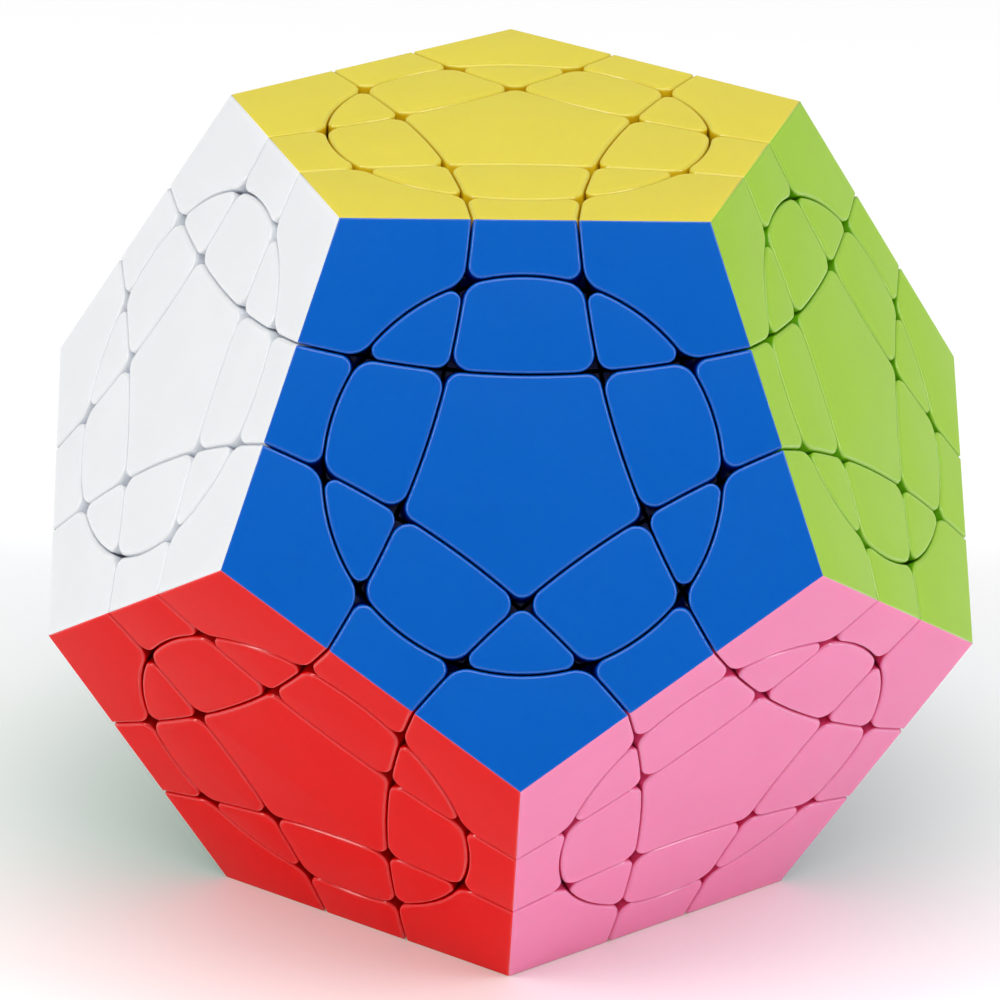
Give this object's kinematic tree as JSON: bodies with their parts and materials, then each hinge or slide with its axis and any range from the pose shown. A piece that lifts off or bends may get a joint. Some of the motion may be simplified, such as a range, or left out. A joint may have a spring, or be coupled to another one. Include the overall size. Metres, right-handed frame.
{
  "type": "dodecahedron twisty puzzle",
  "caption": "Dodecahedron twisty puzzle with a circle on each face, whose face layers turn about axes through its centre.",
  "frame": {"origin": "centre of the core, where all the turning axes cross", "axes": "+Z out of the top face, -Y towards the front face, which leans back; the puzzle stands on its bottom face"},
  "size_m": [0.0968, 0.1018, 0.0824],
  "materials": {
    "top_colour": "satin gloss moulded ABS",
    "front_colour": "satin gloss moulded ABS",
    "right_colour": "satin gloss moulded ABS",
    "back_right_colour": "satin gloss moulded ABS",
    "back_left_colour": "satin gloss moulded ABS",
    "left_colour": "satin gloss moulded ABS",
    "low_right_colour": "satin gloss moulded ABS",
    "low_back_right_colour": "satin gloss moulded ABS",
    "low_back_colour": "satin gloss moulded ABS",
    "low_back_left_colour": "satin gloss moulded ABS",
    "low_left_colour": "satin gloss moulded ABS",
    "bottom_colour": "satin gloss moulded ABS",
    "inner_plastic": "dark moulded plastic",
    "screw_steel": "plated steel"
  },
  "bodies": {
    "core": {"centre_cap_top": "top_colour", "centre_screw_top": "screw_steel", "core_frame": "inner_plastic"},
    "layer_top": {"inner_edge_top_on_front": "front_colour"},
    "layer_front": {"inner_edge_front_on_top": "top_colour"},
    "layer_right": {"inner_edge_right_on_top": "top_colour"},
    "layer_back_right": {"inner_edge_back_right_on_top": "top_colour"},
    "layer_back_left": {"inner_edge_back_left_on_top": "top_colour"},
    "layer_left": {"inner_edge_left_on_top": "top_colour"},
    "layer_low_right": {"edge_low_right_bottom": "low_right_colour", "inner_edge_low_right_on_bottom": "bottom_colour"},
    "layer_low_back_right": {"edge_low_back_right_bottom": "low_back_right_colour", "inner_edge_low_back_right_on_bottom": "bottom_colour"},
    "layer_low_back": {"edge_low_back_bottom": "low_back_colour", "inner_edge_low_back_on_bottom": "bottom_colour"},
    "layer_low_back_left": {"edge_low_back_left_bottom": "low_back_left_colour", "inner_edge_low_back_left_on_bottom": "bottom_colour"},
    "layer_low_left": {"edge_low_left_bottom": "low_left_colour", "inner_edge_low_left_on_bottom": "bottom_colour"},
    "edge_back_left_left": {"edge_back_left_left": "back_left_colour"},
    "edge_back_left_low_back": {"edge_back_left_low_back": "back_left_colour"},
    "edge_back_left_low_back_left": {"edge_back_left_low_back_left": "back_left_colour"},
    "edge_back_right_back_left": {"edge_back_right_back_left": "back_right_colour"},
    "edge_back_right_low_back": {"edge_back_right_low_back": "back_right_colour"},
    "edge_back_right_low_back_right": {"edge_back_right_low_back_right": "back_right_colour"},
    "edge_front_left": {"edge_front_left": "front_colour"},
    "edge_front_low_left": {"edge_front_low_left": "front_colour"},
    "edge_front_low_right": {"edge_front_low_right": "front_colour"},
    "edge_front_right": {"edge_front_right": "front_colour", "petal_front_right_on_top": "top_colour"},
    "edge_left_low_back_left": {"edge_left_low_back_left": "left_colour"},
    "edge_left_low_left": {"edge_left_low_left": "left_colour"},
    "edge_low_back_left_low_left": {"edge_low_back_left_low_left_with_corner": "low_back_left_colour"},
    "edge_low_back_low_back_left": {"edge_low_back_low_back_left_with_corner": "low_back_colour"},
    "edge_low_back_right_low_back": {"edge_low_back_right_low_back_with_corner": "low_back_right_colour"},
    "edge_low_right_low_back_right": {"edge_low_right_low_back_right_with_corner": "low_right_colour"},
    "edge_low_right_low_left": {"edge_low_right_low_left_with_corner": "low_right_colour"},
    "edge_right_back_right": {"edge_right_back_right": "right_colour"},
    "edge_right_low_back_right": {"edge_right_low_back_right": "right_colour"},
    "edge_right_low_right": {"edge_right_low_right": "right_colour"},
    "edge_top_back_left": {"edge_top_back_left": "top_colour"},
    "edge_top_back_right": {"edge_top_back_right": "top_colour"},
    "edge_top_front": {"edge_top_front": "top_colour"},
    "edge_top_left": {"edge_top_left": "top_colour"},
    "edge_top_right": {"edge_top_right": "top_colour"},
    "corner_back_left_low_back_left_left": {"corner_back_left_low_back_left_left": "back_left_colour"},
    "corner_back_left_low_back_low_back_left": {"corner_back_left_low_back_low_back_left": "back_left_colour"},
    "corner_back_right_low_back_back_left": {"corner_back_right_low_back_back_left": "back_right_colour"},
    "corner_back_right_low_back_right_low_back": {"corner_back_right_low_back_right_low_back": "back_right_colour"},
    "corner_front_left_low_left": {"corner_front_left_low_left": "front_colour"},
    "corner_front_low_left_low_right": {"corner_front_low_left_low_right": "front_colour"},
    "corner_front_low_right_right": {"corner_front_low_right_right": "front_colour"},
    "corner_left_low_back_left_low_left": {"corner_left_low_back_left_low_left": "left_colour"},
    "corner_right_low_back_right_back_right": {"corner_right_low_back_right_back_right": "right_colour"},
    "corner_right_low_right_low_back_right": {"corner_right_low_right_low_back_right": "right_colour"},
    "corner_top_back_left_left": {"corner_top_back_left_left": "top_colour"},
    "corner_top_back_right_back_left": {"corner_top_back_right_back_left": "top_colour"},
    "corner_top_front_right": {"corner_top_front_right": "top_colour"},
    "corner_top_left_front": {"corner_top_left_front": "top_colour"},
    "corner_top_right_back_right": {"corner_top_right_back_right": "top_colour"}
  },
  "joints": [
    {"name": "turn_top", "type": "hinge", "parent": "core", "child": "layer_top", "pos_m": [0, 0, 0], "axis": [0, 0, 1], "range_deg": [-360, 360]},
    {"name": "turn_front", "type": "hinge", "parent": "core", "child": "layer_front", "pos_m": [0, 0, 0], "axis": [0, -0.8944, 0.4472], "continuous": true},
    {"name": "turn_right", "type": "hinge", "parent": "core", "child": "layer_right", "pos_m": [0, 0, 0], "axis": [0.8507, -0.2764, 0.4472], "range_deg": [-360, 360]},
    {"name": "turn_back_right", "type": "hinge", "parent": "core", "child": "layer_back_right", "pos_m": [0, 0, 0], "axis": [0.5257, 0.7236, 0.4472], "continuous": true},
    {"name": "turn_back_left", "type": "hinge", "parent": "core", "child": "layer_back_left", "pos_m": [0, 0, 0], "axis": [-0.5257, 0.7236, 0.4472], "range_deg": [-360, 360]},
    {"name": "turn_left", "type": "hinge", "parent": "core", "child": "layer_left", "pos_m": [0, 0, 0], "axis": [-0.8507, -0.2764, 0.4472], "range_deg": [-360, 360]},
    {"name": "turn_low_right", "type": "hinge", "parent": "core", "child": "layer_low_right", "pos_m": [0, 0, 0], "axis": [0.5257, -0.7236, -0.4472], "range_deg": [-360, 360]},
    {"name": "turn_low_back_right", "type": "hinge", "parent": "core", "child": "layer_low_back_right", "pos_m": [0, 0, 0], "axis": [0.8507, 0.2764, -0.4472], "range_deg": [-360, 360]},
    {"name": "turn_low_back", "type": "hinge", "parent": "core", "child": "layer_low_back", "pos_m": [0, 0, 0], "axis": [0, 0.8944, -0.4472], "range_deg": [-360, 360]},
    {"name": "turn_low_back_left", "type": "hinge", "parent": "core", "child": "layer_low_back_left", "pos_m": [0, 0, 0], "axis": [-0.8507, 0.2764, -0.4472], "continuous": true},
    {"name": "turn_low_left", "type": "hinge", "parent": "core", "child": "layer_low_left", "pos_m": [0, 0, 0], "axis": [-0.5257, -0.7236, -0.4472], "range_deg": [-360, 360]},
    {"name": "carry_edge_back_left_left", "type": "hinge", "parent": "layer_back_left", "child": "edge_back_left_left", "pos_m": [0, 0, 0], "axis": [-0.8507, -0.2764, 0.4472], "range_deg": [-360, 360]},
    {"name": "carry_edge_back_left_low_back", "type": "hinge", "parent": "layer_back_left", "child": "edge_back_left_low_back", "pos_m": [0, 0, 0], "axis": [0, 0.8944, -0.4472], "range_deg": [-360, 360]},
    {"name": "carry_edge_back_left_low_back_left", "type": "hinge", "parent": "layer_back_left", "child": "edge_back_left_low_back_left", "pos_m": [0, 0, 0], "axis": [-0.8507, 0.2764, -0.4472], "continuous": true},
    {"name": "carry_edge_back_right_back_left", "type": "hinge", "parent": "layer_back_right", "child": "edge_back_right_back_left", "pos_m": [0, 0, 0], "axis": [-0.5257, 0.7236, 0.4472], "range_deg": [-360, 360]},
    {"name": "carry_edge_back_right_low_back", "type": "hinge", "parent": "layer_back_right", "child": "edge_back_right_low_back", "pos_m": [0, 0, 0], "axis": [0, 0.8944, -0.4472], "range_deg": [-360, 360]},
    {"name": "carry_edge_back_right_low_back_right", "type": "hinge", "parent": "layer_back_right", "child": "edge_back_right_low_back_right", "pos_m": [0, 0, 0], "axis": [0.8507, 0.2764, -0.4472], "range_deg": [-360, 360]},
    {"name": "carry_edge_front_left", "type": "hinge", "parent": "layer_front", "child": "edge_front_left", "pos_m": [0, 0, 0], "axis": [-0.8507, -0.2764, 0.4472], "range_deg": [-360, 360]},
    {"name": "carry_edge_front_low_left", "type": "hinge", "parent": "layer_front", "child": "edge_front_low_left", "pos_m": [0, 0, 0], "axis": [-0.5257, -0.7236, -0.4472], "range_deg": [-360, 360]},
    {"name": "carry_edge_front_low_right", "type": "hinge", "parent": "layer_front", "child": "edge_front_low_right", "pos_m": [0, 0, 0], "axis": [0.5257, -0.7236, -0.4472], "range_deg": [-360, 360]},
    {"name": "carry_edge_front_right", "type": "hinge", "parent": "layer_front", "child": "edge_front_right", "pos_m": [0, 0, 0], "axis": [0.8507, -0.2764, 0.4472], "range_deg": [-360, 360]},
    {"name": "carry_edge_left_low_back_left", "type": "hinge", "parent": "layer_left", "child": "edge_left_low_back_left", "pos_m": [0, 0, 0], "axis": [-0.8507, 0.2764, -0.4472], "continuous": true},
    {"name": "carry_edge_left_low_left", "type": "hinge", "parent": "layer_left", "child": "edge_left_low_left", "pos_m": [0, 0, 0], "axis": [-0.5257, -0.7236, -0.4472], "range_deg": [-360, 360]},
    {"name": "carry_edge_low_back_left_low_left", "type": "hinge", "parent": "layer_low_back_left", "child": "edge_low_back_left_low_left", "pos_m": [0, 0, 0], "axis": [-0.5257, -0.7236, -0.4472], "range_deg": [-360, 360]},
    {"name": "carry_edge_low_back_low_back_left", "type": "hinge", "parent": "layer_low_back", "child": "edge_low_back_low_back_left", "pos_m": [0, 0, 0], "axis": [-0.8507, 0.2764, -0.4472], "continuous": true},
    {"name": "carry_edge_low_back_right_low_back", "type": "hinge", "parent": "layer_low_back_right", "child": "edge_low_back_right_low_back", "pos_m": [0, 0, 0], "axis": [0, 0.8944, -0.4472], "range_deg": [-360, 360]},
    {"name": "carry_edge_low_right_low_back_right", "type": "hinge", "parent": "layer_low_right", "child": "edge_low_right_low_back_right", "pos_m": [0, 0, 0], "axis": [0.8507, 0.2764, -0.4472], "range_deg": [-360, 360]},
    {"name": "carry_edge_low_right_low_left", "type": "hinge", "parent": "layer_low_right", "child": "edge_low_right_low_left", "pos_m": [0, 0, 0], "axis": [-0.5257, -0.7236, -0.4472], "range_deg": [-360, 360]},
    {"name": "carry_edge_right_back_right", "type": "hinge", "parent": "layer_right", "child": "edge_right_back_right", "pos_m": [0, 0, 0], "axis": [0.5257, 0.7236, 0.4472], "continuous": true},
    {"name": "carry_edge_right_low_back_right", "type": "hinge", "parent": "layer_right", "child": "edge_right_low_back_right", "pos_m": [0, 0, 0], "axis": [0.8507, 0.2764, -0.4472], "range_deg": [-360, 360]},
    {"name": "carry_edge_right_low_right", "type": "hinge", "parent": "layer_right", "child": "edge_right_low_right", "pos_m": [0, 0, 0], "axis": [0.5257, -0.7236, -0.4472], "range_deg": [-360, 360]},
    {"name": "carry_edge_top_back_left", "type": "hinge", "parent": "layer_top", "child": "edge_top_back_left", "pos_m": [0, 0, 0], "axis": [-0.5257, 0.7236, 0.4472], "range_deg": [-360, 360]},
    {"name": "carry_edge_top_back_right", "type": "hinge", "parent": "layer_top", "child": "edge_top_back_right", "pos_m": [0, 0, 0], "axis": [0.5257, 0.7236, 0.4472], "continuous": true},
    {"name": "carry_edge_top_front", "type": "hinge", "parent": "layer_top", "child": "edge_top_front", "pos_m": [0, 0, 0], "axis": [0, -0.8944, 0.4472], "continuous": true},
    {"name": "carry_edge_top_left", "type": "hinge", "parent": "layer_top", "child": "edge_top_left", "pos_m": [0, 0, 0], "axis": [-0.8507, -0.2764, 0.4472], "range_deg": [-360, 360]},
    {"name": "carry_edge_top_right", "type": "hinge", "parent": "layer_top", "child": "edge_top_right", "pos_m": [0, 0, 0], "axis": [0.8507, -0.2764, 0.4472], "range_deg": [-360, 360]},
    {"name": "carry_corner_back_left_low_back_left_left", "type": "hinge", "parent": "edge_back_left_low_back_left", "child": "corner_back_left_low_back_left_left", "pos_m": [0, 0, 0], "axis": [-0.8507, -0.2764, 0.4472], "range_deg": [-360, 360]},
    {"name": "carry_corner_back_left_low_back_low_back_left", "type": "hinge", "parent": "edge_back_left_low_back", "child": "corner_back_left_low_back_low_back_left", "pos_m": [0, 0, 0], "axis": [-0.8507, 0.2764, -0.4472], "continuous": true},
    {"name": "carry_corner_back_right_low_back_back_left", "type": "hinge", "parent": "edge_back_right_low_back", "child": "corner_back_right_low_back_back_left", "pos_m": [0, 0, 0], "axis": [-0.5257, 0.7236, 0.4472], "range_deg": [-360, 360]},
    {"name": "carry_corner_back_right_low_back_right_low_back", "type": "hinge", "parent": "edge_back_right_low_back_right", "child": "corner_back_right_low_back_right_low_back", "pos_m": [0, 0, 0], "axis": [0, 0.8944, -0.4472], "range_deg": [-360, 360]},
    {"name": "carry_corner_front_left_low_left", "type": "hinge", "parent": "edge_front_left", "child": "corner_front_left_low_left", "pos_m": [0, 0, 0], "axis": [-0.5257, -0.7236, -0.4472], "range_deg": [-360, 360]},
    {"name": "carry_corner_front_low_left_low_right", "type": "hinge", "parent": "edge_front_low_left", "child": "corner_front_low_left_low_right", "pos_m": [0, 0, 0], "axis": [0.5257, -0.7236, -0.4472], "range_deg": [-360, 360]},
    {"name": "carry_corner_front_low_right_right", "type": "hinge", "parent": "edge_front_low_right", "child": "corner_front_low_right_right", "pos_m": [0, 0, 0], "axis": [0.8507, -0.2764, 0.4472], "range_deg": [-360, 360]},
    {"name": "carry_corner_left_low_back_left_low_left", "type": "hinge", "parent": "edge_left_low_back_left", "child": "corner_left_low_back_left_low_left", "pos_m": [0, 0, 0], "axis": [-0.5257, -0.7236, -0.4472], "range_deg": [-360, 360]},
    {"name": "carry_corner_right_low_back_right_back_right", "type": "hinge", "parent": "edge_right_low_back_right", "child": "corner_right_low_back_right_back_right", "pos_m": [0, 0, 0], "axis": [0.5257, 0.7236, 0.4472], "continuous": true},
    {"name": "carry_corner_right_low_right_low_back_right", "type": "hinge", "parent": "edge_right_low_right", "child": "corner_right_low_right_low_back_right", "pos_m": [0, 0, 0], "axis": [0.8507, 0.2764, -0.4472], "range_deg": [-360, 360]},
    {"name": "carry_corner_top_back_left_left", "type": "hinge", "parent": "edge_top_back_left", "child": "corner_top_back_left_left", "pos_m": [0, 0, 0], "axis": [-0.8507, -0.2764, 0.4472], "range_deg": [-360, 360]},
    {"name": "carry_corner_top_back_right_back_left", "type": "hinge", "parent": "edge_top_back_right", "child": "corner_top_back_right_back_left", "pos_m": [0, 0, 0], "axis": [-0.5257, 0.7236, 0.4472], "range_deg": [-360, 360]},
    {"name": "carry_corner_top_front_right", "type": "hinge", "parent": "edge_top_front", "child": "corner_top_front_right", "pos_m": [0, 0, 0], "axis": [0.8507, -0.2764, 0.4472], "range_deg": [-360, 360]},
    {"name": "carry_corner_top_left_front", "type": "hinge", "parent": "edge_top_left", "child": "corner_top_left_front", "pos_m": [0, 0, 0], "axis": [0, -0.8944, 0.4472], "continuous": true},
    {"name": "carry_corner_top_right_back_right", "type": "hinge", "parent": "edge_top_right", "child": "corner_top_right_back_right", "pos_m": [0, 0, 0], "axis": [0.5257, 0.7236, 0.4472], "continuous": true}
  ],
  "couplings": [
    {"joint": "carry_edge_back_left_left", "follows": "turn_left", "ratio": 1},
    {"joint": "carry_edge_back_left_low_back", "follows": "turn_low_back", "ratio": 1},
    {"joint": "carry_edge_back_left_low_back_left", "follows": "turn_low_back_left", "ratio": 1},
    {"joint": "carry_edge_back_right_back_left", "follows": "turn_back_left", "ratio": 1},
    {"joint": "carry_edge_back_right_low_back", "follows": "turn_low_back", "ratio": 1},
    {"joint": "carry_edge_back_right_low_back_right", "follows": "turn_low_back_right", "ratio": 1},
    {"joint": "carry_edge_front_left", "follows": "turn_left", "ratio": 1},
    {"joint": "carry_edge_front_low_left", "follows": "turn_low_left", "ratio": 1},
    {"joint": "carry_edge_front_low_right", "follows": "turn_low_right", "ratio": 1},
    {"joint": "carry_edge_front_right", "follows": "turn_right", "ratio": 1},
    {"joint": "carry_edge_left_low_back_left", "follows": "turn_low_back_left", "ratio": 1},
    {"joint": "carry_edge_left_low_left", "follows": "turn_low_left", "ratio": 1},
    {"joint": "carry_edge_low_back_left_low_left", "follows": "turn_low_left", "ratio": 1},
    {"joint": "carry_edge_low_back_low_back_left", "follows": "turn_low_back_left", "ratio": 1},
    {"joint": "carry_edge_low_back_right_low_back", "follows": "turn_low_back", "ratio": 1},
    {"joint": "carry_edge_low_right_low_back_right", "follows": "turn_low_back_right", "ratio": 1},
    {"joint": "carry_edge_low_right_low_left", "follows": "turn_low_left", "ratio": 1},
    {"joint": "carry_edge_right_back_right", "follows": "turn_back_right", "ratio": 1},
    {"joint": "carry_edge_right_low_back_right", "follows": "turn_low_back_right", "ratio": 1},
    {"joint": "carry_edge_right_low_right", "follows": "turn_low_right", "ratio": 1},
    {"joint": "carry_edge_top_back_left", "follows": "turn_back_left", "ratio": 1},
    {"joint": "carry_edge_top_back_right", "follows": "turn_back_right", "ratio": 1},
    {"joint": "carry_edge_top_front", "follows": "turn_front", "ratio": 1},
    {"joint": "carry_edge_top_left", "follows": "turn_left", "ratio": 1},
    {"joint": "carry_edge_top_right", "follows": "turn_right", "ratio": 1},
    {"joint": "carry_corner_back_left_low_back_left_left", "follows": "turn_left", "ratio": 1},
    {"joint": "carry_corner_back_left_low_back_low_back_left", "follows": "turn_low_back_left", "ratio": 1},
    {"joint": "carry_corner_back_right_low_back_back_left", "follows": "turn_back_left", "ratio": 1},
    {"joint": "carry_corner_back_right_low_back_right_low_back", "follows": "turn_low_back", "ratio": 1},
    {"joint": "carry_corner_front_left_low_left", "follows": "turn_low_left", "ratio": 1},
    {"joint": "carry_corner_front_low_left_low_right", "follows": "turn_low_right", "ratio": 1},
    {"joint": "carry_corner_front_low_right_right", "follows": "turn_right", "ratio": 1},
    {"joint": "carry_corner_left_low_back_left_low_left", "follows": "turn_low_left", "ratio": 1},
    {"joint": "carry_corner_right_low_back_right_back_right", "follows": "turn_back_right", "ratio": 1},
    {"joint": "carry_corner_right_low_right_low_back_right", "follows": "turn_low_back_right", "ratio": 1},
    {"joint": "carry_corner_top_back_left_left", "follows": "turn_left", "ratio": 1},
    {"joint": "carry_corner_top_back_right_back_left", "follows": "turn_back_left", "ratio": 1},
    {"joint": "carry_corner_top_front_right", "follows": "turn_right", "ratio": 1},
    {"joint": "carry_corner_top_left_front", "follows": "turn_front", "ratio": 1},
    {"joint": "carry_corner_top_right_back_right", "follows": "turn_back_right", "ratio": 1}
  ]
}
